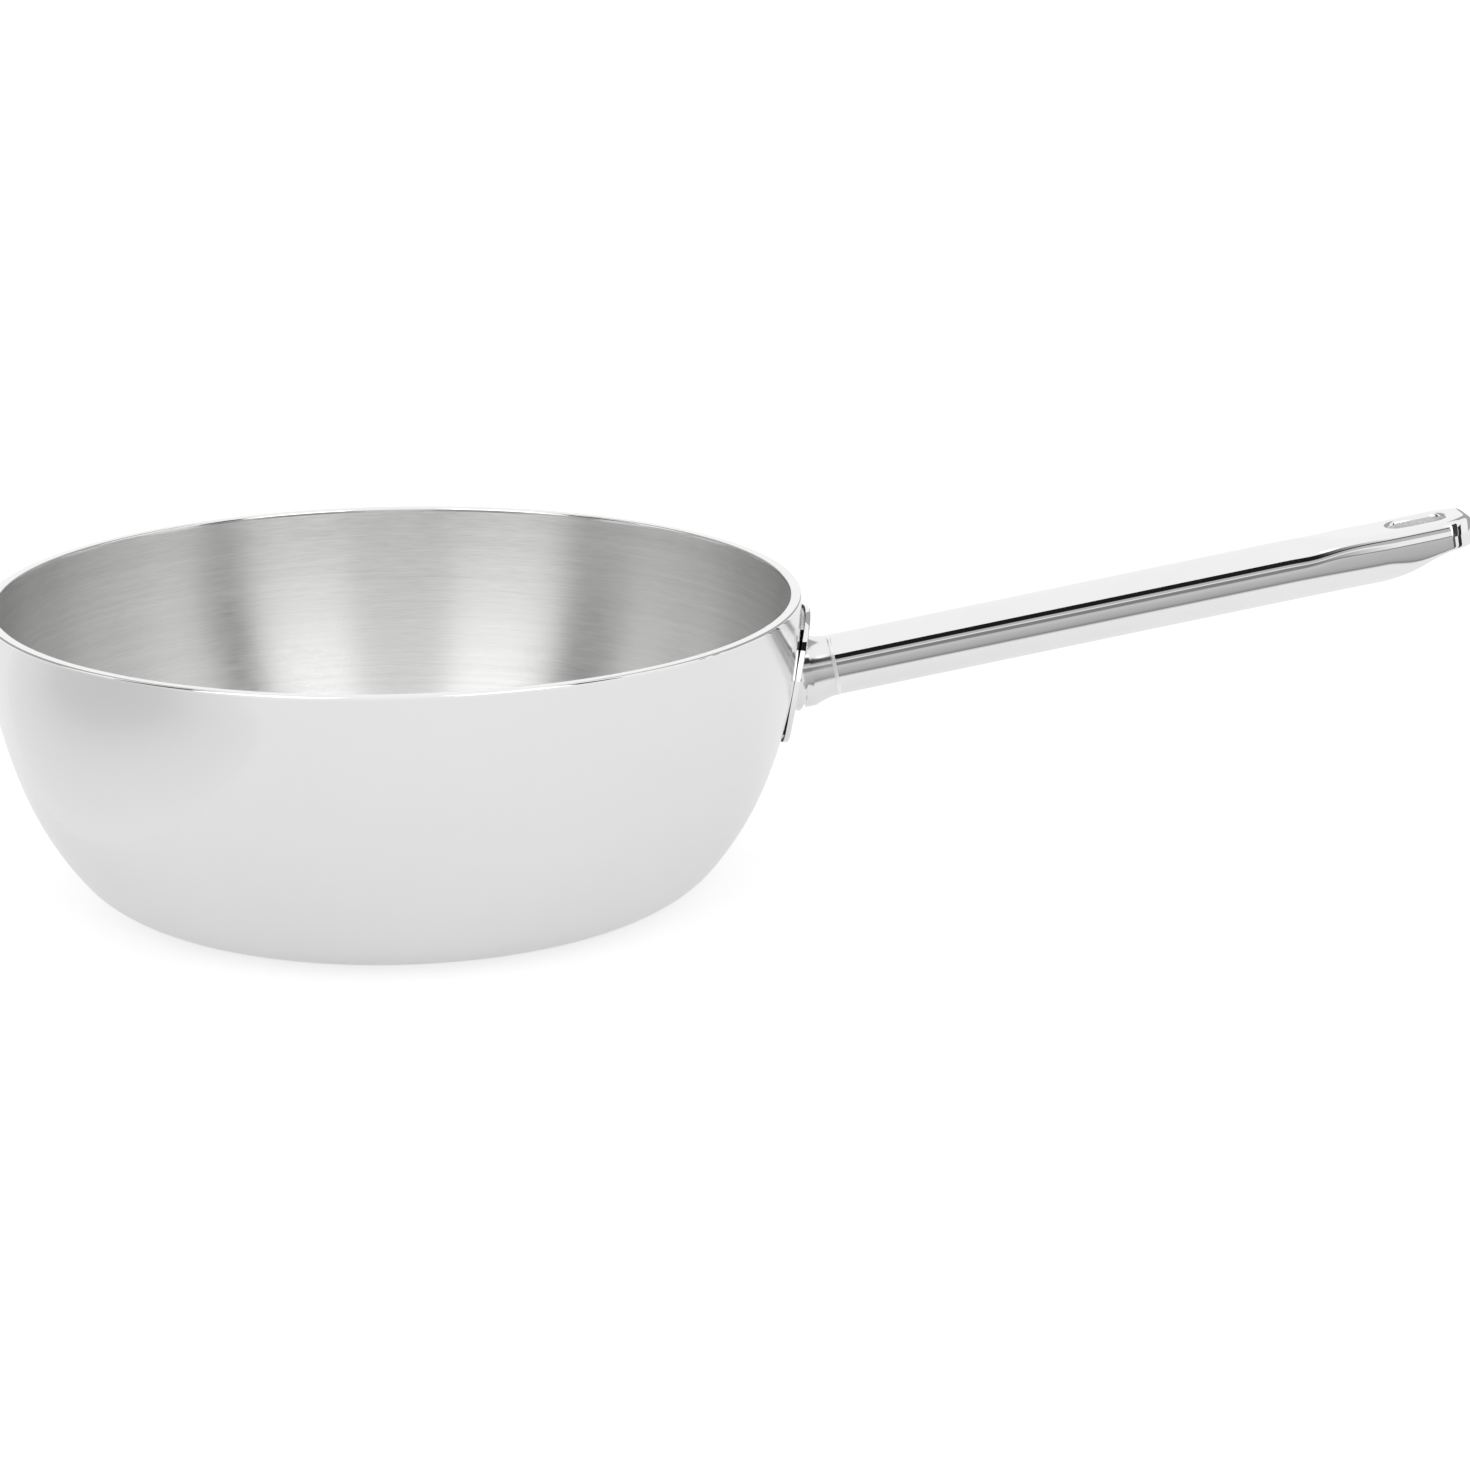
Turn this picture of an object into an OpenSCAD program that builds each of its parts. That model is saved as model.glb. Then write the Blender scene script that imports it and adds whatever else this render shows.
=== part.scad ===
// Saucier pan: a five-ply bowl with a welded tube handle.
// The origin is the centre of the base's underside, +Z is up and +X runs out along the handle.

/* [Bowl] */
// Inside diameter at the rim
rim_bore = 240; // [180:1:300]
// Overall height, from the base's underside to the top of the rim
bowl_h = 91.5; // [83:0.5:101]
// Outside radius of the corner between the base and the wall
corner_r = 28.3; // [20:0.1:34]
// Outside radius of the lower wall
lower_r = 94.8; // [80:0.1:110]
// Outside radius of the upper wall
upper_r = 145.3; // [120:0.1:165]
// Lean of the wall, from the vertical, where the corner meets the lower wall
corner_lean = 38.7; // [32:0.1:44]
// Height of the upright edge at the top of the wall
rim_land = 3.6; // [2.6:0.1:5]

/* [Plies] */
// Thickness of the inner steel ply
inner_steel_t = 0.5; // [0.3:0.05:0.8]
// Thickness of the inner aluminium ply
inner_alu_t = 0.35; // [0.2:0.05:0.6]
// Thickness of the alloy core ply
core_t = 1.6; // [0.8:0.1:3]
// Thickness of the outer aluminium ply
outer_alu_t = 0.35; // [0.2:0.05:0.6]
// Thickness of the outer steel ply
outer_steel_t = 0.5; // [0.3:0.05:0.8]

/* [Rim] */
// Height of the band that seals the ply edges
rim_band_h = 1.2; // [0.8:0.1:2.4]
// Rounding of the rim's two edges
rim_edge_r = 0.6; // [0.2:0.1:0.7]

/* [Handle] */
// Rise of the handle above the horizontal
handle_rise = 10.8; // [4:0.1:20]
// Drop from the rim to the point where the handle's axis meets the bowl's outside
handle_drop = 28.5; // [25:0.5:34]
// Length of the handle from the bowl's outside to its tip
handle_len = 216; // [185:1:280]
// Outside diameter of the tube
tube_d = 18.8; // [16:0.2:24]
// Wall of the tube
tube_wall = 1.2; // [0.8:0.1:1.8]

/* [Mounting plate] */
// Diameter of the round plate
plate_d = 43; // [38:0.5:50]
// Thickness of the plate
plate_t = 1.6; // [1:0.1:2.5]
// Gap between the wall and the middle of the plate, which is straight up and down
plate_gap = 0.1; // [0.05:0.05:0.3]
// Width of the welds behind the plate's upper and lower edges
weld_w = 4; // [2.5:0.5:5]
// Distance of the welds from the plate's edge
weld_inset = 1; // [0.5:0.5:2]
// Angle of the plate's edge that each weld covers
weld_span = 70; // [50:5:80]

/* [Stem] */
// Diameter of the stem's flange
flange_d = 22.4; // [21:0.2:26]
// Thickness of the flange at its edge
flange_t = 2.6; // [1.5:0.1:4]
// Straight length of the neck between the flange and its fillet
neck_land = 1; // [0.5:0.1:2]
// Diameter of the neck where it leaves the flange
neck_root_d = 20.6; // [18.8:0.2:21]
// Distance along the handle from the wall to the seam between the neck and the tube
seam_at = 13.4; // [11:0.1:20]
// Diameter of the tenon that locates the flange in the plate
tenon_d = 12; // [8:0.5:14]
// Length of the spigot inside the tube
spigot_len = 16; // [10:0.5:30]
// Bore up the stem's spigot
spigot_bore_d = 9; // [4:0.5:11]
// Radial clearance of the spigot in the tube and of the tenon in the plate
fit_gap = 0.05; // [0.02:0.01:0.15]
// Width of the seam weld
seam_w = 1.2; // [0.8:0.1:2]
// Height of the seam weld above the tube
seam_crown = 0.15; // [0.05:0.05:0.4]

/* [Pressed end] */
// Length of the tube's shaped end, from where it starts to flatten to the tip
press_len = 60; // [52:1:80]
// Width of the pressed end
end_w = 22.4; // [20:0.2:24]
// Height of the pressed end's flat top above the handle's axis
end_top = 7.3; // [6.5:0.1:8.5]
// Height above the handle's axis of the crease along the pressed end's sides
crease_h = 2.8; // [1.5:0.1:4]
// Inward lean of the pressed end's sides above the crease
side_lean = 18; // [8:1:24]
// Length of the nose, over which the pressed end narrows to its tip
nose_len = 12.5; // [10:0.5:15]
// Thickness of the pressed end at its tip
end_t = 9.6; // [8:0.2:12]
// Length of the ramp under the pressed end
ramp_len = 22; // [16:1:28]
// Distance from the tip to the end of the ramp
ramp_to_tip = 8; // [5:0.5:12]
// Depth of the hollow pressed into the underside
hollow_d = 6.2; // [4:0.2:6.4]
// Length of the hanging slot
slot_len = 18; // [14:0.5:20]
// Width of the hanging slot
slot_w = 9; // [7:0.5:10]
// Distance from the tip to the slot's far end
slot_to_tip = 8; // [7:0.5:12]
// Roll of the slot's upper edge
slot_roll_r = 1; // [0.4:0.1:1.1]

/* [Hidden] */

// Segments of a full turn: the bowl, its section's arcs, the handle's round parts and small details
turn_fn = 240;
arc_fn = 720;
round_fn = 144;
small_fn = 48;
// How far a cut passes the face that it opens, and how far neighbouring arcs overlap
cut = 1;
join = 0.01;
// Reach of a wedge's middle corner, as a part of its sides, so that its far edges clear the arc
wedge_bulge = 1.2;

// The plies' depths below the bowl's outside face
d1 = outer_steel_t;
d2 = d1 + outer_alu_t;
d3 = d2 + core_t;
d4 = d3 + inner_alu_t;
wall_t = d4 + inner_steel_t;

// The outside profile: centres of the three arcs, which meet in common tangents
rim_r = rim_bore / 2 + wall_t;
function lean_dir(a) = [cos(a), -sin(a)];
wall_z = bowl_h - rim_land;
wall_lean = asin((wall_z - corner_r - (lower_r - corner_r) * sin(corner_lean)) / (upper_r - lower_r));
upper_c = [rim_r - upper_r, wall_z];
lower_c = upper_c + (upper_r - lower_r) * lean_dir(wall_lean);
corner_c = lower_c + (lower_r - corner_r) * lean_dir(corner_lean);
band_z = bowl_h - rim_band_h;

// The handle's foot on the wall, and the wall's own lean there
handle_h = bowl_h - handle_drop;
foot_lean = asin((wall_z - handle_h) / upper_r);
foot_r = upper_c[0] + upper_r * cos(foot_lean);

// The wedge between two leans of the wall, widened a hair so that neighbouring arcs join
module wedge(c, a0, a1, reach) {
    side0 = join * [lean_dir(a0)[1], -lean_dir(a0)[0]];
    side1 = join * [-lean_dir(a1)[1], lean_dir(a1)[0]];
    polygon([c + side0, c + side0 + reach * lean_dir(a0), c + wedge_bulge * reach * lean_dir((a0 + a1) / 2),
             c + side1 + reach * lean_dir(a1), c + side1]);
}

// A band between two depths of one arc of the profile
module arc_band(c, r, a0, a1, deep, shallow) {
    intersection() {
        translate(c) difference() {
            circle(r - shallow, $fn = arc_fn);
            circle(r - deep, $fn = arc_fn);
        }
        wedge(c, a0, a1, r + cut);
    }
}

// Half section of a layer of the bowl, between two depths below its outside face
module layer_section(deep, shallow, top) {
    translate([0, shallow]) square([corner_c[0], deep - shallow]);
    arc_band(corner_c, corner_r, 90, corner_lean, deep, shallow);
    arc_band(lower_c, lower_r, corner_lean, wall_lean, deep, shallow);
    arc_band(upper_c, upper_r, wall_lean, 0, deep, shallow);
    translate([rim_r - deep, wall_z]) square([deep - shallow, top - wall_z]);
}

module layer(deep, shallow) {
    rotate_extrude($fn = turn_fn) layer_section(deep, shallow, band_z);
}

// A shell outside the wall, between two stand-offs, for what is welded to it
module wall_skin(near, far) {
    rotate_extrude($fn = turn_fn) {
        arc_band(lower_c, lower_r, corner_lean, wall_lean, -near, -far);
        arc_band(upper_c, upper_r, wall_lean, 0, -near, -far);
        translate([rim_r + near, wall_z]) square([far - near, bowl_h - wall_z]);
    }
}

// Places its children with +Z out along the handle and +Y up, the origin on the wall
module on_handle() {
    translate([foot_r, 0, handle_h]) rotate([0, -handle_rise, 0]) rotate([90, 0, 90]) children();
}

// Places its children with +Z square to the wall at the handle's foot and +Y up
module on_wall() {
    translate([foot_r, 0, handle_h]) rotate([0, foot_lean, 0]) rotate([90, 0, 90]) children();
}

module inner_steel_ply() {
    color("silver") layer(wall_t, d4);
}

module inner_aluminium_ply() {
    color("gainsboro") layer(d4, d3);
}

module alloy_core_ply() {
    color("lightgray") layer(d3, d2);
}

module outer_aluminium_ply() {
    color("gainsboro") layer(d2, d1);
}

module outer_steel_ply() {
    color("lightgray") layer(d1, 0);
}

module rim_band() {
    color("white") rotate_extrude($fn = turn_fn) {
        translate([rim_r - wall_t, band_z]) square([wall_t, rim_band_h - rim_edge_r]);
        translate([rim_r - wall_t + rim_edge_r, band_z]) square([wall_t - 2 * rim_edge_r, rim_band_h]);
        for (r = [rim_r - wall_t + rim_edge_r, rim_r - rim_edge_r])
            translate([r, bowl_h - rim_edge_r]) circle(rim_edge_r, $fn = small_fn);
    }
}

// The plate is bent to the wall round the bowl and straight up and down
bend_r = foot_r / cos(foot_lean);
// Half the depth of a tool that passes through the bent plate everywhere
plate_reach = plate_d / 4;

// All that lies behind a bent face at a stand-off from the handle's foot
module bent_core(stand_off) {
    on_wall() translate([0, 0, -bend_r]) rotate([90, 0, 0])
        cylinder(h = 2 * plate_d, r = bend_r + stand_off, center = true, $fn = turn_fn);
}

// A round bar through the plate, square to it
module through_plate(d) {
    on_wall() cylinder(h = 2 * plate_reach, d = d, center = true, $fn = round_fn);
}

module mounting_plate() {
    color("gainsboro") difference() {
        intersection() {
            through_plate(plate_d);
            bent_core(plate_gap + plate_t);
        }
        bent_core(plate_gap);
        through_plate(tenon_d + 2 * fit_gap);
    }
}

// A weld that fills the gap between the wall and the plate, along an edge of the plate
module edge_weld(side) {
    outer_r = plate_d / 2 - weld_inset;
    color("darkgray") intersection() {
        intersection() {
            wall_skin(0, plate_reach);
            on_wall() linear_extrude(2 * plate_reach, center = true) intersection() {
                difference() {
                    circle(outer_r, $fn = round_fn);
                    circle(outer_r - weld_w, $fn = round_fn);
                }
                polygon([[0, 0], [-plate_d * tan(weld_span / 2), side * plate_d],
                         [plate_d * tan(weld_span / 2), side * plate_d]]);
            }
        }
        bent_core(plate_gap);
    }
}

module upper_weld() {
    edge_weld(1);
}

module lower_weld() {
    edge_weld(-1);
}

// Stations along the handle, measured from the wall
flange_z = plate_gap + plate_t;
neck_z = flange_z + flange_t + neck_land;
tube_r = tube_d / 2;
bore_r = tube_r - tube_wall;
neck_r = neck_root_d / 2;
flare = (flange_d - neck_root_d) / 2;

// The neck, its flare into the flange and the spigot that fits inside the tube
module neck_section() {
    difference() {
        polygon([[0, 0], [neck_r + flare, 0], [neck_r + flare, neck_z], [neck_r, neck_z + flare],
                 [tube_r, seam_at - seam_w], [tube_r - seam_w / 2, seam_at - seam_w / 2],
                 [bore_r - fit_gap, seam_at], [bore_r - fit_gap, seam_at + spigot_len],
                 [spigot_bore_d / 2, seam_at + spigot_len], [spigot_bore_d / 2, neck_z + flare],
                 [0, neck_z + flare]]);
        translate([neck_r + flare, neck_z + flare]) circle(flare, $fn = small_fn);
    }
}

module handle_stem() {
    color("whitesmoke") {
        difference() {
            union() {
                on_wall() cylinder(h = flange_z + flange_t, d = flange_d, $fn = round_fn);
                on_handle() rotate_extrude($fn = round_fn) neck_section();
            }
            bent_core(flange_z);
        }
        difference() {
            intersection() {
                through_plate(tenon_d);
                bent_core(flange_z + flange_t / 2);
            }
            bent_core(plate_gap);
        }
    }
}

module seam_weld() {
    color("white") on_handle() rotate_extrude($fn = round_fn)
        polygon([[tube_r - seam_w / 2, seam_at - seam_w / 2], [tube_r, seam_at - seam_w],
                 [tube_r + seam_crown, seam_at - seam_w / 2], [tube_r, seam_at]]);
}

// The shaped end of the tube, drawn as rings of a section that turns from round to flat
press_at = handle_len - press_len;
slot_end = handle_len - slot_to_tip;
slot_start = slot_end - slot_len;
flat_len = slot_start - press_at;
// Length over which the nose's edge rounds off, in section, and the last ring's angle on the nose
nose_edge = 3.6;
nose_stop = 86;
// How far the section's upper and lower halves turn from an ellipse towards a rectangle
top_squareness = 8;
low_squareness = 4;
// Part of the width that the hollow takes
hollow_share = 0.7;
// Points of a ring, spacing of the rings and number of rings on the nose
ring_pts = 48;
ring_step = 3;
nose_rings = 8;
// The shaped skin starts a hair inside the tube's own outside and a hair outside its bore
skin_step = 0.03;
press_r = tube_r - skin_step;
skin_wall = press_r - bore_r - 2 * skin_step;

function smooth(t) = t <= 0 ? 0 : t >= 1 ? 1 : t * t * (3 - 2 * t);
function mix(a, b, t) = a + (b - a) * t;
function rounded(t) = t <= 0 ? 1 : sqrt(1 - t * t);
function flatness(s) = smooth((s - press_at) / flat_len);
function ramp(s) = smooth((s - (handle_len - ramp_to_tip - ramp_len)) / ramp_len);
function tip_round(s) = rounded((s - (handle_len - nose_edge)) / nose_edge);
function half_w(s) = mix(press_r, end_w / 2, flatness(s)) * rounded((s - (handle_len - nose_len)) / nose_len);
function top_h(s) = mix(press_r, end_top, flatness(s)) * tip_round(s);
function low_h(s) = mix(press_r, end_t - end_top, ramp(s)) * tip_round(s);
function centre_y(s) = (end_top - end_t / 2) * (1 - tip_round(s));
function hollow(s) = hollow_d * ramp(s) * (1 - smooth((s - slot_end) / (slot_to_tip - nose_edge)));

// One point of the ring at s, in the direction a, on the skin or at a depth inside it
function ring_point(s, a, wall) =
    let (n = 2 + (sin(a) > 0 ? top_squareness * pow(flatness(s), 2) : low_squareness * ramp(s)),
         w = half_w(s) - wall, h = (sin(a) > 0 ? top_h(s) : low_h(s)) - wall,
         r = pow(pow(abs(cos(a)) / w, n) + pow(abs(sin(a)) / h, n), -1 / n),
         lean_in = tan(side_lean) * flatness(s) * max(r * sin(a) - crease_h, 0),
         x = r * cos(a) * (1 - lean_in / (end_w / 2)),
         across = abs(x) / (hollow_share * half_w(s)),
         lift = sin(a) < 0 && across < 1 && wall == 0 ? hollow(s) * pow(cos(90 * across), 2) : 0)
    [x, centre_y(s) + r * sin(a) + lift, s];

// A closed skin over the outer rings, with a blind hollow of the inner rings open at its start
module pressed_shell(outer, inner) {
    n = len(outer);
    m = len(inner);
    first = n * ring_pts;
    points = concat([for (s = outer, i = [0:ring_pts - 1]) ring_point(s, 360 * (i + 0.5) / ring_pts, 0)],
                    [for (s = inner, i = [0:ring_pts - 1]) ring_point(s, 360 * (i + 0.5) / ring_pts, skin_wall)]);
    outer_sides = [for (k = [0:n - 2], i = [0:ring_pts - 1])
        let (j = (i + 1) % ring_pts, p = k * ring_pts, q = p + ring_pts)
        each [[p + i, q + i, q + j], [p + i, q + j, p + j]]];
    inner_sides = [for (k = [0:m - 2], i = [0:ring_pts - 1])
        let (j = (i + 1) % ring_pts, p = first + k * ring_pts, q = p + ring_pts)
        each [[p + i, q + j, q + i], [p + i, p + j, q + j]]];
    mouth = [for (i = [0:ring_pts - 1]) let (j = (i + 1) % ring_pts)
        each [[i, j, first + j], [i, first + j, first + i]]];
    tip = [for (i = [ring_pts - 1:-1:0]) (n - 1) * ring_pts + i];
    blind = [for (i = [0:ring_pts - 1]) first + (m - 1) * ring_pts + i];
    polyhedron(points, concat(outer_sides, inner_sides, mouth, [tip, blind]));
}

function steps(a, b, step) = let (n = ceil((b - a) / step)) [for (i = [0:n]) a + (b - a) * i / n];
press_stations = concat(steps(press_at, handle_len - nose_len, ring_step),
                        [for (i = [1:nose_rings])
                            handle_len - nose_len * (1 - sin(nose_stop * i / nose_rings))]);

// How far the cone that rolls the slot's upper edge passes the roll at both ends
roll_pass = slot_roll_r / 2;

// The two rounds of the hanging slot, straight or as cones
module slot(r0, r1, h) {
    for (z = [slot_start + slot_w / 2, slot_end - slot_w / 2])
        translate([0, 0, z]) rotate([-90, 0, 0]) cylinder(h = h, r1 = r0, r2 = r1, $fn = small_fn);
}

module handle_tube() {
    color("whitesmoke") on_handle() difference() {
        union() {
            translate([0, 0, seam_at]) difference() {
                cylinder(h = press_at - seam_at, r = tube_r, $fn = round_fn);
                translate([0, 0, -cut]) cylinder(h = handle_len, r = bore_r, $fn = round_fn);
            }
            pressed_shell(press_stations, steps(press_at, slot_start - tube_wall, 2 * ring_step));
        }
        translate([0, -tube_d, 0]) {
            slot(slot_w / 2, slot_w / 2, 2 * tube_d);
            translate([-slot_w / 2, 0, slot_start + slot_w / 2]) cube([slot_w, 2 * tube_d, slot_len - slot_w]);
        }
        translate([0, end_top - slot_roll_r - roll_pass, 0]) hull()
            slot(slot_w / 2 - roll_pass, slot_w / 2 + slot_roll_r + roll_pass, slot_roll_r + 2 * roll_pass);
    }
}

inner_steel_ply();
inner_aluminium_ply();
alloy_core_ply();
outer_aluminium_ply();
outer_steel_ply();
rim_band();
mounting_plate();
upper_weld();
lower_weld();
handle_stem();
seam_weld();
handle_tube();
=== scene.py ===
import math

import bmesh
import bpy
from mathutils import Matrix, Vector


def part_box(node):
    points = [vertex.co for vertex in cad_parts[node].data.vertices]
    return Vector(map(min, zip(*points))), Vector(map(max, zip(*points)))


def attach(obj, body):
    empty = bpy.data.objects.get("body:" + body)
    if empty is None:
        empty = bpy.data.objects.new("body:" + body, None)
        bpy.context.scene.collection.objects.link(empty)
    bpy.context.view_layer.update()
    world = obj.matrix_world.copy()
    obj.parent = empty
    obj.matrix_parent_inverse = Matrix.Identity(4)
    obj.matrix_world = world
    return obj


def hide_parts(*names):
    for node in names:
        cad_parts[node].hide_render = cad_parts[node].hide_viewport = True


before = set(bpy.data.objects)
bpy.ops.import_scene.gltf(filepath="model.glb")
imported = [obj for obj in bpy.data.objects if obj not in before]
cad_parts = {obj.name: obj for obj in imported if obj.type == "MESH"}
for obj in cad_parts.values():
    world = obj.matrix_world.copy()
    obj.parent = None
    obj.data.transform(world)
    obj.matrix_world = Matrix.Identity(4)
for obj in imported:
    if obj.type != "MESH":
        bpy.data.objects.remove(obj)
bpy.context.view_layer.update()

MM = 0.001
BODY = "root"

# Bowl, the same profile as the CAD model's
RIM_BORE_R = 120.0 * MM
CORNER_R = 28.3 * MM
LOWER_R = 94.8 * MM
UPPER_R = 145.3 * MM
CORNER_LEAN = math.radians(38.7)
STEEL_T = 0.5 * MM
RIM_LAND = 3.6 * MM
RIM_EDGE_R = 0.6 * MM
BOWL_SEGMENTS = 320

RIM_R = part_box("rim_band")[1].x
BOWL_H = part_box("rim_band")[1].z
BAND_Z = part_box("rim_band")[0].z
WALL_T = RIM_R - RIM_BORE_R
WALL_Z = BOWL_H - RIM_LAND
LOWER_DROP = (LOWER_R - CORNER_R) * math.sin(CORNER_LEAN)
WALL_LEAN = math.asin((WALL_Z - CORNER_R - LOWER_DROP) / (UPPER_R - LOWER_R))
UPPER_C = RIM_R - UPPER_R

# Handle
HANDLE_RISE = math.radians(10.8)
HANDLE_H = 63.0 * MM
HANDLE_LEN = 216.0 * MM
TUBE_R = 9.4 * MM
SEAM_AT = 13.4 * MM
SEAM_W = 1.2 * MM
SEAM_CROWN = 0.15 * MM
FOOT_LEAN = math.asin((WALL_Z - HANDLE_H) / UPPER_R)
FOOT = Vector((UPPER_C + UPPER_R * math.cos(FOOT_LEAN), 0, HANDLE_H))
HANDLE_SEGMENTS = 144

# Mounting plate and stem
PLATE_R = 21.5 * MM
PLATE_T = 1.6 * MM
PLATE_GAP = 0.1 * MM
PLATE_EDGE_R = 0.4 * MM
BEND_R = FOOT.x / math.cos(FOOT_LEAN)
FLANGE_R = 11.2 * MM
FLANGE_T = 2.6 * MM
FLANGE_EDGE_R = 0.7 * MM
NECK_R = 10.3 * MM
NECK_FLARE = 0.9 * MM
NECK_STAND = 1.2 * MM
NECK_ROOT = 2.0 * MM

# Pressed end of the tube
PRESS_LEN = 60.0 * MM
END_W = 22.4 * MM
END_TOP = 7.3 * MM
END_T = 9.6 * MM
RAMP_LEN = 22.0 * MM
RAMP_TO_TIP = 8.0 * MM
HOLLOW_D = 6.2 * MM
HOLLOW_SHARE = 0.7
SLOT_LEN = 18.0 * MM
SLOT_W = 9.0 * MM
SLOT_TO_TIP = 8.0 * MM
SLOT_ROLL_R = 1.4 * MM
NOSE_EDGE = 3.6 * MM
NOSE_LEN = 12.5 * MM
CREASE_H = 2.8 * MM
SIDE_LEAN = math.radians(18)
TOP_SQUARENESS = 8
LOW_SQUARENESS = 4
PRESS_AT = HANDLE_LEN - PRESS_LEN
SLOT_END = HANDLE_LEN - SLOT_TO_TIP
SLOT_START = SLOT_END - SLOT_LEN
TUBE_POINTS = 160

# The part of a noise's range that materials use
NOISE_SPAN = (0.3, 0.7)

# Camera, solved from the rim's two ellipses and the body's outline
CAMERA_AT = Vector((5.0, -1107.9, 355.9)) * MM
CAMERA_TILT = math.radians(15.69)
CAMERA_TURN = math.radians(-5.08)
CAMERA_LENS = 91.33
CAMERA_CLIP = (0.01, 50)
SENSOR = 36.0

# Studio: the world's light, which is white where it shows, and the floor's half width, colour and what it
# adds for the camera and for reflections
LIGHT = 0.9
FLOOR_HALF = 8.0
FLOOR_TONE = 0.60
FLOOR_SEEN = 0.60
FLOOR_MIRRORED = 0.38
# The card beside the handle: its distance from the axis and from the handle's ends, and the bands of grey
# that the tube mirrors, as (height over the axis in mm, strength). Those beside the pressed end blend in.
CARD_OFF = 18.0 * MM
CARD_START = 3.0 * MM
CARD_TO_TIP = 2.0 * MM
LOW_BANDS = ((-9.1, 0.85), (-8.6, 0.78), (-7.7, 0.62), (-6.6, 0.22), (-6.2, 0.28), (-4.6, 0.40), (-2.5, 0.47),
             (0.9, 0.54))
TUBE_BANDS = LOW_BANDS + ((1.1, 0.585), (3.1, 0.585), (3.8, 0.24), (6.5, 0.24), (6.8, 0.9), (7.4, 0.9),
                          (7.7, 0.52), (9.9, 0.52), (10.2, 0.012), (17.4, 0.012))
END_BANDS = LOW_BANDS + ((3.1, 0.52), (3.5, 0.2), (4.2, 0.2), (4.7, 0.95), (7.4, 0.95), (7.7, 0.52),
                         (9.9, 0.5), (10.3, 0.06), (11.4, 0.06), (12.0, 0.9), (17.4, 1.0))
END_BLEND = (165.0 * MM, 192.0 * MM)
# The grey patch on the floor to the left: its centre, and its bands as (distance in mm, strength)
PATCH_AT = Vector((-0.42, -0.12, 0.0005))
PATCH_BANDS = ((0, 0.64), (130, 0.68), (180, 0.76), (230, 0.82), (270, 0.85), (300, 0.88))
PATCH_POINTS = 48
# The small dark cards that the handle's nose mirrors: their place along X, their lower and upper edge, and
# for each one its two ends along Y and its strength
TIP_CARD_X = 0.40
TIP_CARD_Z = (0.06, 0.14)
TIP_CARDS = (("tip_card_far", -0.086, -0.070, 0.10), ("tip_card_near", -0.052, -0.034, 0.03))
# The upright cards round the pan: their distance, and for each one two azimuths in degrees from straight in
# front, positive to the handle's side, its strength and its height
TALL_CARD_OFF = 3.0
TALL_CARDS = (("right_light", 15, 47, 1.8, 4.0), ("right_dark", 48, 62, 0.05, 3.0),
              ("left_light", -18, -55, 1.8, 5.0), ("left_dark", -55, -80, 0.12, 3.5),
              ("right_side", 100, 158, 0.42, 5.0), ("left_side", -100, -158, 0.42, 5.0))


def new_object(name, verts, faces, sharp_angle=35):
    """A closed mesh as an object, shaded smooth except across sharp edges."""
    mesh = bpy.data.meshes.new(name)
    mesh.from_pydata([tuple(v) for v in verts], [], faces)
    bm = bmesh.new()
    bm.from_mesh(mesh)
    bmesh.ops.recalc_face_normals(bm, faces=bm.faces)
    bm.to_mesh(mesh)
    bm.free()
    mesh.shade_smooth()
    mesh.set_sharp_from_angle(angle=math.radians(sharp_angle))
    obj = bpy.data.objects.new(name, mesh)
    bpy.context.scene.collection.objects.link(obj)
    return obj


def lathe(name, section, segments, place=Matrix.Identity(4), sharp_angle=35):
    """A closed section of (radius, height) points turned about the Z axis, then placed."""
    verts, rings = [], []
    for r, z in section:
        if r < 1e-7:
            rings.append([len(verts)] * segments)
            verts.append(place @ Vector((0, 0, z)))
        else:
            rings.append([len(verts) + i for i in range(segments)])
            for i in range(segments):
                a = 2 * math.pi * i / segments
                verts.append(place @ Vector((r * math.cos(a), r * math.sin(a), z)))
    faces = []
    for k in range(len(rings)):
        low, high = rings[k], rings[(k + 1) % len(rings)]
        for i in range(segments):
            j = (i + 1) % segments
            corners = list(dict.fromkeys([low[i], low[j], high[j], high[i]]))
            if len(corners) > 2:
                faces.append(corners)
    return new_object(name, verts, faces, sharp_angle)


def loft(name, rings, place=Matrix.Identity(4), sharp_angle=40):
    """A closed skin over rings that all have as many points, with flat ends."""
    n = len(rings[0])
    verts = [place @ p for ring in rings for p in ring]
    faces = [list(range(n)), [(len(rings) - 1) * n + i for i in range(n)]]
    for k in range(len(rings) - 1):
        for i in range(n):
            j = (i + 1) % n
            faces.append([k * n + i, k * n + j, (k + 1) * n + j, (k + 1) * n + i])
    return new_object(name, verts, faces, sharp_angle)


def combine(obj, tool, operation):
    """Joins a tool to an object or cuts it out of it, and removes the tool."""
    step = obj.modifiers.new("combine", "BOOLEAN")
    step.operation = operation
    step.object = tool
    graph = bpy.context.evaluated_depsgraph_get()
    mesh = bpy.data.meshes.new_from_object(obj.evaluated_get(graph))
    obj.modifiers.clear()
    obj.data = mesh
    bpy.data.objects.remove(tool)


def arc(centre, radius, start, stop, steps):
    """Points of an arc in a (radius, height) section, angles in degrees from the outward direction."""
    points = []
    for i in range(steps + 1):
        a = math.radians(start + (stop - start) * i / steps)
        points.append((centre[0] + radius * math.cos(a), centre[1] + radius * math.sin(a)))
    return points


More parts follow.
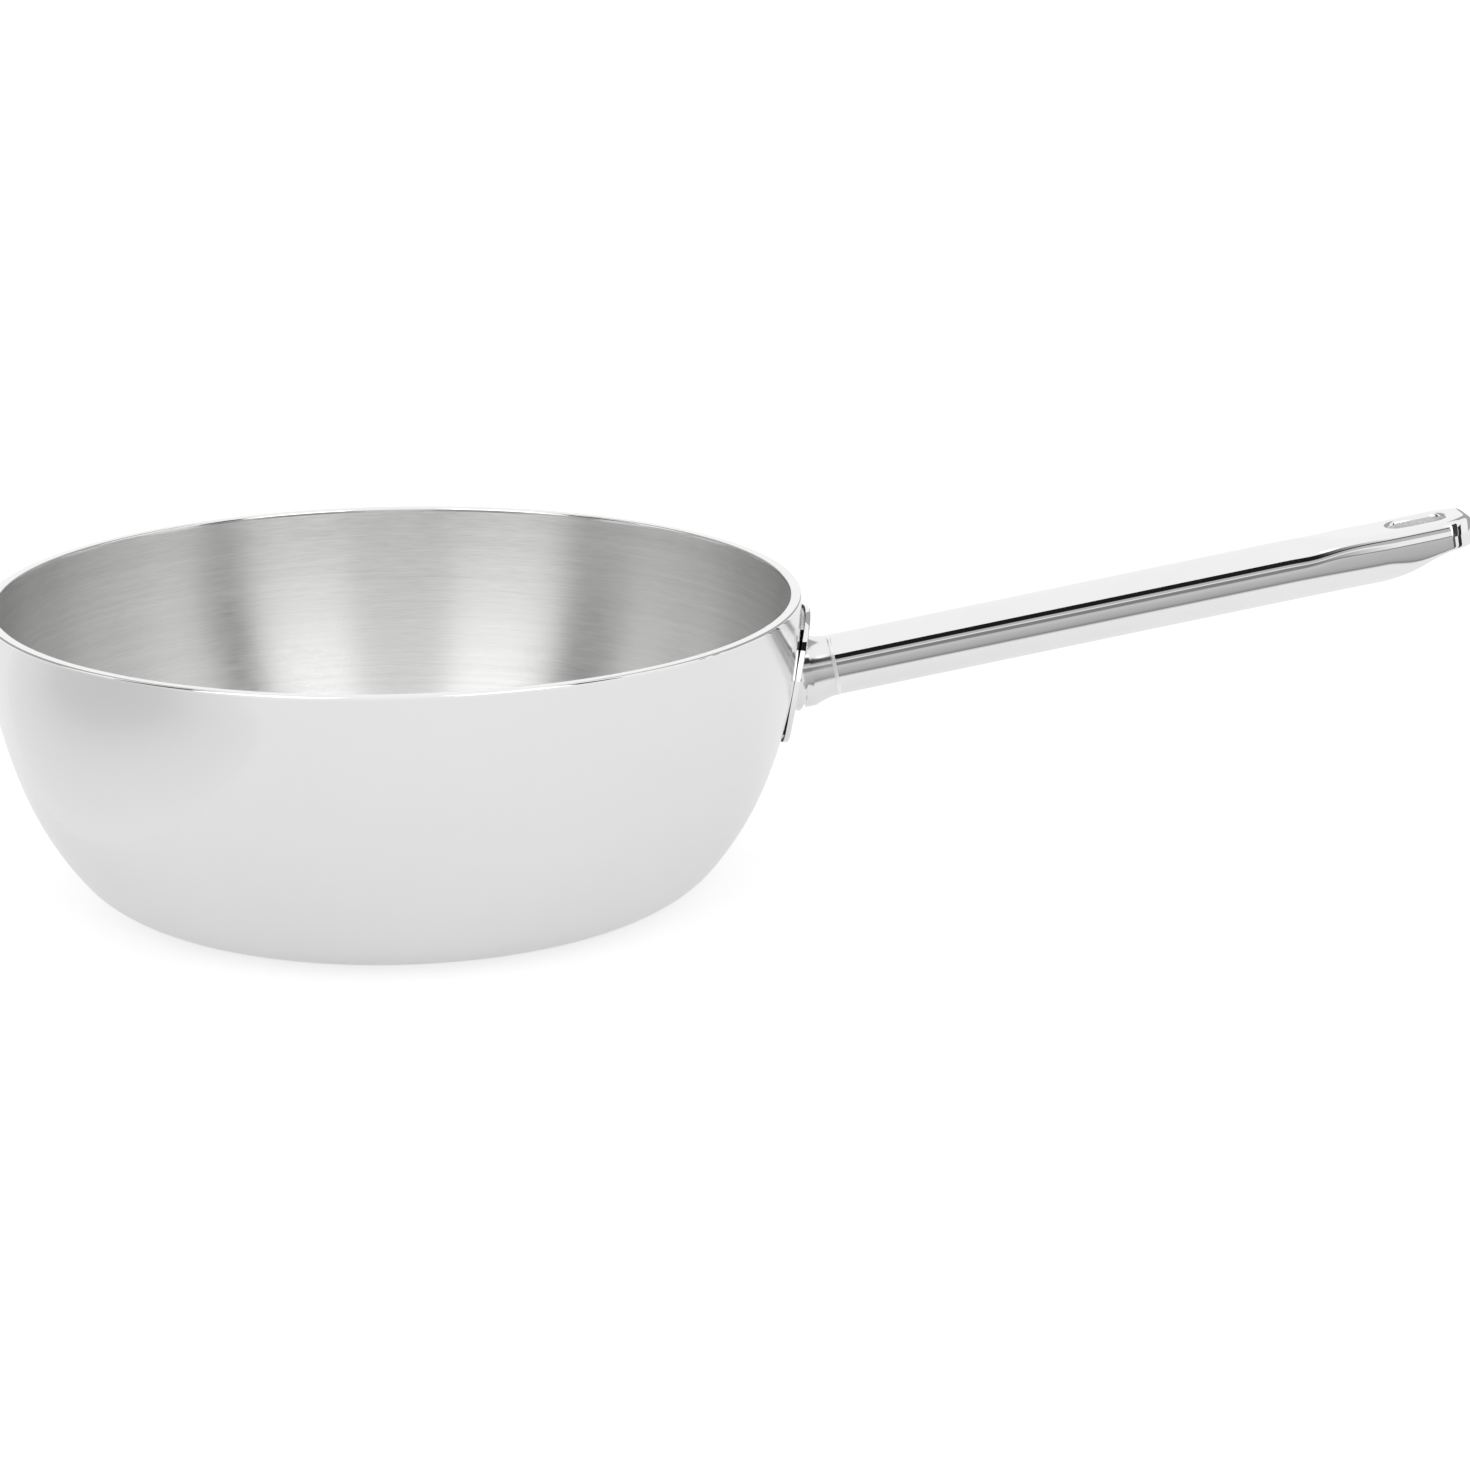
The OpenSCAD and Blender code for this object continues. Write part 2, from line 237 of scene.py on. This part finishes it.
def wall_path(depth, top):
    """The bowl's profile at a depth below its outside face, from the axis to the height top."""
    lower_c = (UPPER_C + (UPPER_R - LOWER_R) * math.cos(WALL_LEAN),
               WALL_Z - (UPPER_R - LOWER_R) * math.sin(WALL_LEAN))
    corner_c = (lower_c[0] + (LOWER_R - CORNER_R) * math.cos(CORNER_LEAN), lower_c[1] - LOWER_DROP)
    flat = corner_c[0]
    corner, wall = math.degrees(CORNER_LEAN), math.degrees(WALL_LEAN)
    path = [(flat * share, depth) for share in (0, 0.1, 0.3, 0.5, 0.7, 0.85, 0.95)]
    path += arc(corner_c, CORNER_R - depth, -90, -corner, 28)
    path += arc(lower_c, LOWER_R - depth, -corner, -wall, 16)[1:]
    path += arc((UPPER_C, WALL_Z), UPPER_R - depth, -wall, 0, 28)[1:]
    path.append((RIM_R - depth, top))
    return path


def make_skin(name, depth):
    """A steel skin of the bowl whose outer face lies at a depth below the bowl's outside."""
    section = wall_path(depth, BAND_Z) + wall_path(depth + STEEL_T, BAND_Z)[::-1]
    return lathe(name, section, BOWL_SEGMENTS)


def make_rim():
    """The rim's lip, with its two rounded edges."""
    edge_z = BOWL_H - RIM_EDGE_R
    lip = [(RIM_R - WALL_T, BAND_Z), (RIM_R, BAND_Z)]
    lip += arc((RIM_R - RIM_EDGE_R, edge_z), RIM_EDGE_R, 0, 90, 8)
    lip += arc((RIM_R - WALL_T + RIM_EDGE_R, edge_z), RIM_EDGE_R, 90, 180, 8)
    return lathe("rim_lip", lip, BOWL_SEGMENTS)


def at_foot(up, out):
    """A frame at the handle's foot: X across, Y up, Z out."""
    return Matrix(((0, up.x, out.x, FOOT.x), (1, up.y, out.y, FOOT.y), (0, up.z, out.z, FOOT.z), (0, 0, 0, 1)))


def along_handle():
    """The handle's frame, with Z out along its axis."""
    return at_foot(Vector((-math.sin(HANDLE_RISE), 0, math.cos(HANDLE_RISE))),
                   Vector((math.cos(HANDLE_RISE), 0, math.sin(HANDLE_RISE))))


def square_to_wall():
    """The plate's frame, with Y up the wall and Z square to it."""
    return at_foot(Vector((math.sin(FOOT_LEAN), 0, math.cos(FOOT_LEAN))),
                   Vector((math.cos(FOOT_LEAN), 0, -math.sin(FOOT_LEAN))))


def on_bend(across, up, stand_off):
    """The point of a bent face at a stand-off over the wall, at (across, up) of the plate's frame."""
    out = math.sqrt((BEND_R + stand_off) ** 2 - across ** 2) - BEND_R
    return square_to_wall() @ Vector((across, up, out))


def make_plate():
    """The round plate, bent round the bowl and straight up and down, its front edge rounded."""
    front = PLATE_GAP + PLATE_T
    flat = PLATE_R - PLATE_EDGE_R
    section = [(flat * share, front) for share in (0.02, 0.2, 0.4, 0.6, 0.8, 0.9)]
    section += arc((flat, front - PLATE_EDGE_R), PLATE_EDGE_R, 90, 0, 6)
    section += [(PLATE_R * share, PLATE_GAP) for share in (1, 0.9, 0.6, 0.3, 0.02)]
    angles = [2 * math.pi * i / HANDLE_SEGMENTS for i in range(HANDLE_SEGMENTS)]
    rings = [[on_bend(r * math.cos(a), r * math.sin(a), h) for a in angles] for r, h in section]
    return loft("wall_plate", rings)


def make_flange():
    """The stem's round flange, sunk into the plate."""
    root = PLATE_GAP + 0.6 * PLATE_T
    face = PLATE_GAP + PLATE_T + FLANGE_T
    disc = [(0, root), (FLANGE_R, root)]
    disc += arc((FLANGE_R - FLANGE_EDGE_R, face - FLANGE_EDGE_R), FLANGE_EDGE_R, 0, 90, 6)
    disc.append((0, face))
    return lathe("handle_neck", disc, HANDLE_SEGMENTS, square_to_wall())


def make_flare():
    """The stem's neck, which narrows from the flange to the tube."""
    start = PLATE_GAP + PLATE_T + FLANGE_T + NECK_STAND
    wide = NECK_R + NECK_FLARE
    neck = [(0, NECK_ROOT), (wide, NECK_ROOT), (wide, start)]
    steps = 14
    for i in range(steps + 1):
        t = i / steps
        left = 0.75 * (1 - t) ** 2 + 0.25 * (1 - t)
        neck.append((TUBE_R + (wide - TUBE_R) * left, start + (SEAM_AT - SEAM_W - start) * t))
    neck += [(TUBE_R - SEAM_W / 2, SEAM_AT - SEAM_W / 2), (0, SEAM_AT - SEAM_W / 2)]
    return lathe("handle_flare", neck, HANDLE_SEGMENTS, along_handle())


def make_stem():
    """The casting between the plate and the tube."""
    stem = make_flange()
    combine(stem, make_flare(), "UNION")
    return stem


def make_seam():
    """The dressed weld bead between the neck and the tube."""
    bead = [(TUBE_R - SEAM_W / 2, SEAM_AT - SEAM_W / 2)]
    for i in range(9):
        t = i / 8
        bead.append((TUBE_R + SEAM_CROWN * math.sin(math.pi * t), SEAM_AT - SEAM_W + SEAM_W * t))
    return lathe("seam_bead", bead, HANDLE_SEGMENTS, along_handle(), 80)


def smooth(t):
    """An even rise from 0 to 1 that starts and ends level."""
    t = min(max(t, 0), 1)
    return t * t * (3 - 2 * t)


def mix(a, b, t):
    """The value a share t of the way from a to b."""
    return a + (b - a) * t


def rounded(t):
    """A quarter circle's fall from 1 at 0 to 0 at 1."""
    return 1 if t <= 0 else math.sqrt(max(1 - t * t, 0))


def press_point(s, angle):
    """One point of the tube's ring at s along the handle, round at first and flattened at the end."""
    flat = smooth((s - PRESS_AT) / (SLOT_START - PRESS_AT))
    ramp = smooth((s - (HANDLE_LEN - RAMP_TO_TIP - RAMP_LEN)) / RAMP_LEN)
    tip = rounded((s - (HANDLE_LEN - NOSE_EDGE)) / NOSE_EDGE)
    upper = math.sin(angle) > 0
    power = 2 + (TOP_SQUARENESS * flat ** 2 if upper else LOW_SQUARENESS * ramp)
    half = mix(TUBE_R, END_W / 2, flat) * rounded((s - (HANDLE_LEN - NOSE_LEN)) / NOSE_LEN)
    high = (mix(TUBE_R, END_TOP, flat) if upper else mix(TUBE_R, END_T - END_TOP, ramp)) * tip
    r = ((abs(math.cos(angle)) / half) ** power + (abs(math.sin(angle)) / high) ** power) ** (-1 / power)
    y = r * math.sin(angle)
    x = r * math.cos(angle) * (1 - math.tan(SIDE_LEAN) * flat * max(y - CREASE_H, 0) / (END_W / 2))
    across = abs(x) / (HOLLOW_SHARE * half)
    if not upper and across < 1:
        fade = 1 - smooth((s - SLOT_END) / (SLOT_TO_TIP - NOSE_EDGE))
        y += HOLLOW_D * ramp * fade * math.cos(math.pi / 2 * across) ** 2
    return Vector((x, (END_TOP - END_T / 2) * (1 - tip) + y, s))


def tube_stations():
    """Where the tube has rings: few along the round part, close together at the pressed end and the nose."""
    body, nose, last = 62, 26, math.radians(87.5)
    nose_at = HANDLE_LEN - NOSE_LEN
    stations = [SEAM_AT - SEAM_W / 2, SEAM_AT + 0.02, SEAM_AT + 0.07, PRESS_AT]
    stations += [PRESS_AT + (nose_at - PRESS_AT) * (i + 1) / body for i in range(body)]
    stations += [HANDLE_LEN - NOSE_LEN * (1 - math.sin(last * (i + 1) / nose)) for i in range(nose)]
    return stations


def slot_ring(grow, height):
    """The slot's outline, grown outwards, at a height over the handle's axis."""
    ring = []
    r = SLOT_W / 2 + grow
    for centre, start in ((SLOT_END - SLOT_W / 2, 0), (SLOT_START + SLOT_W / 2, 180)):
        for i in range(25):
            a = math.radians(start + 180 * i / 24)
            ring.append(Vector((r * math.cos(a), height, centre + r * math.sin(a))))
    return ring


def slot_cutter():
    """What the slot takes out of the tube: a mouth with a rolled edge and straight walls below it."""
    reach, over, steps = 12 * MM, 0.05 * MM, 8
    mouth = SLOT_ROLL_R + 0.3 * MM
    rings = [slot_ring(mouth, reach), slot_ring(mouth, END_TOP + over)]
    for i in range(steps + 1):
        a = math.radians(90 * i / steps)
        rings.append(slot_ring(SLOT_ROLL_R * (1 - math.sin(a)), END_TOP - SLOT_ROLL_R * (1 - math.cos(a))))
    rings.append(slot_ring(0, -reach))
    return loft("slot_cutter", rings, along_handle())


def make_tube():
    """The polished tube with its pressed end and rolled hanging slot."""
    angles = [2 * math.pi * (i + 0.5) / TUBE_POINTS for i in range(TUBE_POINTS)]
    tube = loft("handle_grip", [[press_point(s, a) for a in angles] for s in tube_stations()], along_handle())
    combine(tube, slot_cutter(), "DIFFERENCE")
    tube.data.set_sharp_from_angle(angle=math.radians(40))
    return tube


def in_slot(point):
    """Whether a point of the handle's frame lies on the slot's upright walls."""
    run = min(max(point.z, SLOT_START + SLOT_W / 2), SLOT_END - SLOT_W / 2)
    on_wall = math.hypot(point.x, point.z - run) < SLOT_W / 2 + 0.05 * MM
    return on_wall and point.y < END_TOP - 0.8 * SLOT_ROLL_R


class Nodes:
    """A small helper to write a material's node tree."""

    def __init__(self, name):
        self.material = bpy.data.materials.new(name)
        self.material.use_nodes = True
        self.tree = self.material.node_tree
        self.shader = self.tree.nodes["Principled BSDF"]

    def add(self, kind, inputs=(), **settings):
        """A new node with its settings, and its inputs linked or set."""
        node = self.tree.nodes.new(kind)
        for key, value in settings.items():
            setattr(node, key, value)
        for key, value in dict(inputs).items():
            if isinstance(value, bpy.types.NodeSocket):
                self.tree.links.new(value, node.inputs[key])
            else:
                node.inputs[key].default_value = value
        return node

    def set(self, socket, value):
        self.shader.inputs[socket].default_value = value

    def link(self, output, socket):
        self.tree.links.new(output, self.shader.inputs[socket])

    def math(self, operation, a, b=0.0):
        return self.add("ShaderNodeMath", {0: a, 1: b}, operation=operation).outputs[0]

    def spread(self, value, low, high, out_low, out_high):
        """value, mapped from one range to another and clamped."""
        inputs = {"Value": value, "From Min": low, "From Max": high, "To Min": out_low, "To Max": out_high}
        return self.add("ShaderNodeMapRange", inputs).outputs["Result"]

    def blend(self, value, first, second):
        """A mix of two colours by a value from 0 to 1."""
        return self.add("ShaderNodeMix", {0: value, 6: first, 7: second}, data_type="RGBA").outputs[2]

    def tone(self, noise, dark, light):
        """Colours the surface between two colours by a noise."""
        share = self.spread(noise, *NOISE_SPAN, 0, 1)
        self.link(self.blend(share, (*dark, 1), (*light, 1)), "Base Color")

    def rough(self, noise, low, high, span=NOISE_SPAN):
        """Varies the roughness by a noise."""
        self.link(self.spread(noise, *span, low, high), "Roughness")

    def bump(self, height, strength, distance):
        """Raises the surface by a noise."""
        node = self.add("ShaderNodeBump", {"Height": height, "Strength": strength, "Distance": distance})
        self.link(node.outputs["Normal"], "Normal")

    def place(self):
        """Where a point is in the object's own space."""
        return self.add("ShaderNodeTexCoord").outputs["Object"]

    def rings(self, across, along):
        """Noise drawn out in circles round the Z axis: across lines per metre, along variations per metre."""
        x, y, z = self.add("ShaderNodeSeparateXYZ", {"Vector": self.place()}).outputs
        radius = self.math("SQRT", self.math("ADD", self.math("MULTIPLY", x, x), self.math("MULTIPLY", y, y)))
        run = self.math("ADD", radius, z)
        vector = self.add("ShaderNodeCombineXYZ", {
            "X": self.math("MULTIPLY", x, along), "Y": self.math("MULTIPLY", y, along),
            "Z": self.math("MULTIPLY", run, across)}).outputs[0]
        return self.add("ShaderNodeTexNoise", {"Vector": vector, "Scale": 1.0, "Detail": 3.0}).outputs["Fac"]

    def cloud(self, scale, detail=2.0):
        """Noise that is alike in all directions."""
        inputs = {"Vector": self.place(), "Scale": scale, "Detail": detail}
        return self.add("ShaderNodeTexNoise", inputs).outputs["Fac"]


def metal(name, metallic=1.0):
    """The start of a metal's material."""
    m = Nodes(name)
    m.set("Metallic", metallic)
    return m


def brushed_inside():
    """Stainless steel brushed round the bowl."""
    m = metal("brushed_steel_inside")
    m.set("Anisotropic", 0.8)
    m.set("Anisotropic Rotation", 0.25)
    lines = m.rings(2600, 140)
    broad = m.rings(500, 8)
    both = m.math("ADD", m.math("MULTIPLY", lines, 0.6), m.math("MULTIPLY", broad, 0.4))
    m.tone(both, (0.65, 0.65, 0.645), (0.80, 0.80, 0.795))
    m.rough(lines, 0.30, 0.42)
    m.bump(lines, 0.25, 0.00003)
    m.link(m.add("ShaderNodeTangent", direction_type="RADIAL", axis="Z").outputs[0], "Tangent")
    return m.material


def satin_outside():
    """Fine satin stainless steel."""
    m = metal("satin_steel_outside")
    grain = m.rings(2600, 30)
    m.tone(m.cloud(9.0), (0.825, 0.825, 0.83), (0.85, 0.85, 0.855))
    m.rough(grain, 0.12, 0.16)
    return m.material


def polished(name, light, rough):
    """Polished stainless steel, with the faint unevenness of a buffed surface."""
    m = metal(name)
    haze = m.cloud(60.0, 3.0)
    m.tone(haze, (light - 0.02,) * 3, (light,) * 3)
    m.rough(haze, rough, rough * 1.8, (0.35, 0.75))
    return m.material


def pressed_steel():
    """The slot's walls, left as the press cut them."""
    m = metal("pressed_steel")
    marks = m.cloud(900.0)
    m.tone(marks, (0.76, 0.76, 0.755), (0.84, 0.84, 0.835))
    m.rough(marks, 0.5, 0.65)
    return m.material


def plate_back_painted_shade():
    """The plate's back, unpolished, coloured near black as painted shade for the gap between the plate and the
    wall.
    """
    m = metal("plate_back_painted_shade", 0.6)
    shade_and_roughness_noise = m.cloud(400.0, 4.0)
    # Painted shade: these near-black tones stand for the shadow in the gap behind the plate, varied by a
    # noise.
    m.tone(shade_and_roughness_noise, (0.07, 0.07, 0.07), (0.16, 0.155, 0.15))
    m.rough(shade_and_roughness_noise, 0.6, 0.8)
    return m.material


def rolled_alloy():
    """Plain rolled aluminium, enclosed between the steel skins."""
    m = metal("rolled_alloy")
    grain = m.rings(900, 10)
    m.tone(grain, (0.72, 0.72, 0.73), (0.80, 0.80, 0.81))
    m.rough(grain, 0.35, 0.5)
    return m.material


def weld_metal():
    """Fused steel, a little uneven."""
    m = metal("weld_metal")
    ripple = m.cloud(700.0)
    m.tone(ripple, (0.60, 0.60, 0.59), (0.74, 0.74, 0.73))
    m.rough(ripple, 0.2, 0.4)
    m.bump(ripple, 0.3, 0.0002)
    return m.material


def dress(obj, material, slot, *nodes):
    """Gives a piece its material and its place in the frame, and hides the CAD nodes it stands for."""
    obj.data.materials.clear()
    obj.data.materials.append(material)
    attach(obj, BODY)
    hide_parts(*nodes)


def dress_faces(obj, material, test):
    """Gives the faces that pass a test a second material."""
    obj.data.materials.append(material)
    for face in obj.data.polygons:
        if test(face):
            face.material_index = 1


def dress_node(name, material):
    """Gives a CAD node that stays its material."""
    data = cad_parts[name].data
    data.materials.clear()
    data.materials.append(material)


def glow(name, strength=1.0):
    """A material that only glows."""
    m = Nodes(name)
    m.set("Base Color", (0, 0, 0, 1))
    m.set("Specular IOR Level", 0.0)
    m.set("Emission Color", (1, 1, 1, 1))
    m.set("Emission Strength", strength)
    return m


def bands(m, value, stops):
    """A grey that runs through stops of (value in mm, strength)."""
    low, high = stops[0][0], stops[-1][0]
    ramp = m.add("ShaderNodeValToRGB", {"Fac": m.spread(value, low * MM, high * MM, 0, 1)})
    elements = ramp.color_ramp.elements
    while len(elements) < len(stops):
        elements.new(0.5)
    for element, (position, _) in zip(elements, stops):
        element.position = (position - low) / (high - low)
    for element, (_, strength) in zip(elements, stops):
        element.color = (strength, strength, strength, 1)
    return ramp.outputs["Color"]


def handle_glow(name):
    """The bands beside the tube, which blend into those beside its pressed end, seen from the tube alone."""
    m = glow(name)
    xyz = m.add("ShaderNodeSeparateXYZ", {"Vector": m.place()}).outputs
    share = m.spread(xyz[2], *END_BLEND, 0, 1)
    m.link(m.blend(share, bands(m, xyz[1], TUBE_BANDS), bands(m, xyz[1], END_BANDS)), "Emission Color")
    m.link(m.add("ShaderNodeNewGeometry").outputs["Backfacing"], "Alpha")
    return m.material


def patch_glow(name):
    """Rings of grey round the middle of the object."""
    m = glow(name)
    length = m.add("ShaderNodeVectorMath", {0: m.place()}, operation="LENGTH").outputs["Value"]
    m.link(bands(m, length, PATCH_BANDS), "Emission Color")
    return m.material


def card(name, corners, material):
    """A studio card: a flat panel that shows in the metal and nowhere else."""
    obj = new_object(name, corners, [list(range(len(corners)))])
    obj.data.materials.append(material)
    obj.visible_camera = False
    obj.visible_diffuse = False
    obj.visible_shadow = False
    obj.visible_transmission = False
    return obj


def handle_card():
    """The card beside the handle."""
    low, high = TUBE_BANDS[0][0] * MM, TUBE_BANDS[-1][0] * MM
    end = HANDLE_LEN - CARD_TO_TIP
    corners = [(-CARD_OFF, low, CARD_START), (-CARD_OFF, low, end), (-CARD_OFF, high, end),
               (-CARD_OFF, high, CARD_START)]
    card("handle_card", corners, handle_glow("handle_card")).matrix_world = along_handle()


def floor_patch():
    """The grey patch on the floor."""
    r = PATCH_BANDS[-1][0] * MM
    turns = [2 * math.pi * i / PATCH_POINTS for i in range(PATCH_POINTS)]
    corners = [(r * math.cos(a), r * math.sin(a), 0) for a in turns]
    card("floor_patch", corners, patch_glow("floor_patch")).location = PATCH_AT


def tip_card(name, y0, y1, strength):
    """A small card across from the handle's nose."""
    x, (z0, z1) = TIP_CARD_X, TIP_CARD_Z
    card(name, [(x, y0, z0), (x, y1, z0), (x, y1, z1), (x, y0, z1)], glow(name, strength).material)


def tall_card(name, start, stop, strength, high):
    """An upright card between two azimuths."""
    angles = [math.radians(a) for a in (start, stop)]
    feet = [Vector((math.sin(a), -math.cos(a), 0)) * TALL_CARD_OFF for a in angles]
    top = Vector((0, 0, high))
    card(name, [feet[0], feet[1], feet[1] + top, feet[0] + top], glow(name, strength).material)


def make_floor():
    """The pale floor, which looks white and keeps the pan's shadow."""
    half = FLOOR_HALF
    floor = new_object("floor", [(-half, -half, 0), (half, -half, 0), (half, half, 0), (-half, half, 0)],
                       [[0, 1, 2, 3]])
    m = Nodes("white_floor")
    m.set("Base Color", (FLOOR_TONE, FLOOR_TONE, FLOOR_TONE, 1))
    m.set("Roughness", 1.0)
    m.set("Specular IOR Level", 0.0)
    m.set("Emission Color", (1, 1, 1, 1))
    path = m.add("ShaderNodeLightPath").outputs
    m.link(m.math("MAXIMUM", m.math("MULTIPLY", path["Is Camera Ray"], FLOOR_SEEN),
                  m.math("MULTIPLY", path["Is Glossy Ray"], FLOOR_MIRRORED)), "Emission Strength")
    floor.data.materials.append(m.material)


def make_world():
    """The white world, a little dimmer as a light than where it shows."""
    world = bpy.data.worlds.new("studio")
    bpy.context.scene.world = world
    world.use_nodes = True
    nodes, links = world.node_tree.nodes, world.node_tree.links
    background = nodes["Background"]
    background.inputs["Color"].default_value = (1, 1, 1, 1)
    path = nodes.new("ShaderNodeLightPath")
    strength = nodes.new("ShaderNodeMapRange")
    strength.inputs["To Min"].default_value = 1.0
    strength.inputs["To Max"].default_value = LIGHT
    links.new(path.outputs["Is Diffuse Ray"], strength.inputs["Value"])
    links.new(strength.outputs["Result"], background.inputs["Strength"])


def make_studio():
    """The floor, the cards and soft lights that show in the metal, and the white world."""
    make_floor()
    handle_card()
    floor_patch()
    for values in TIP_CARDS:
        tip_card(*values)
    for values in TALL_CARDS:
        tall_card(*values)
    make_world()


def make_camera():
    """The camera at the photograph's viewing angle."""
    data = bpy.data.cameras.new("camera")
    data.sensor_width = SENSOR
    data.lens = CAMERA_LENS
    data.clip_start, data.clip_end = CAMERA_CLIP
    camera = bpy.data.objects.new("camera", data)
    camera.location = CAMERA_AT
    camera.rotation_euler = (math.pi / 2 - CAMERA_TILT, 0, CAMERA_TURN)
    bpy.context.scene.collection.objects.link(camera)
    bpy.context.scene.camera = camera


def make_bowl(mirror):
    """The two steel skins that show, the rim's lip, and the plies between them."""
    dress(make_skin("pan_outside", 0), satin_outside(), "outside_steel", "outer_steel_ply")
    dress(make_skin("pan_inside", WALL_T - STEEL_T), brushed_inside(), "inside_steel", "inner_steel_ply")
    dress(make_rim(), mirror, "polished_steel", "rim_band")
    alloy = rolled_alloy()
    for name in ("inner_aluminium_ply", "alloy_core_ply", "outer_aluminium_ply"):
        dress_node(name, alloy)


def make_handle(mirror):
    """The plate with its welds, the stem, the seam and the tube."""
    plate = make_plate()
    dress(plate, mirror, "polished_steel", "mounting_plate")
    out = square_to_wall().to_3x3().col[2]
    # The faces that look towards the wall get painted shade, which stands for the shadow in the gap behind the
    # plate.
    dress_faces(plate, plate_back_painted_shade(), lambda face: face.normal.dot(out) < -0.5)
    fused = weld_metal()
    dress_node("upper_weld", fused)
    dress_node("lower_weld", fused)
    dress(make_stem(), polished("cast_steel", 0.86, 0.13), "polished_steel", "handle_stem")
    dress(make_seam(), polished("dressed_weld", 0.96, 0.30), "polished_steel", "seam_weld")
    tube = make_tube()
    dress(tube, mirror, "polished_steel", "handle_tube")
    to_handle = along_handle().inverted()
    dress_faces(tube, pressed_steel(), lambda face: in_slot(to_handle @ face.center))


def main():
    """Sets the scene and builds the pan in it."""
    bpy.context.scene.view_settings.view_transform = "Standard"
    make_camera()
    make_studio()
    mirror = polished("polished_steel", 0.88, 0.035)
    make_bowl(mirror)
    make_handle(mirror)


main()
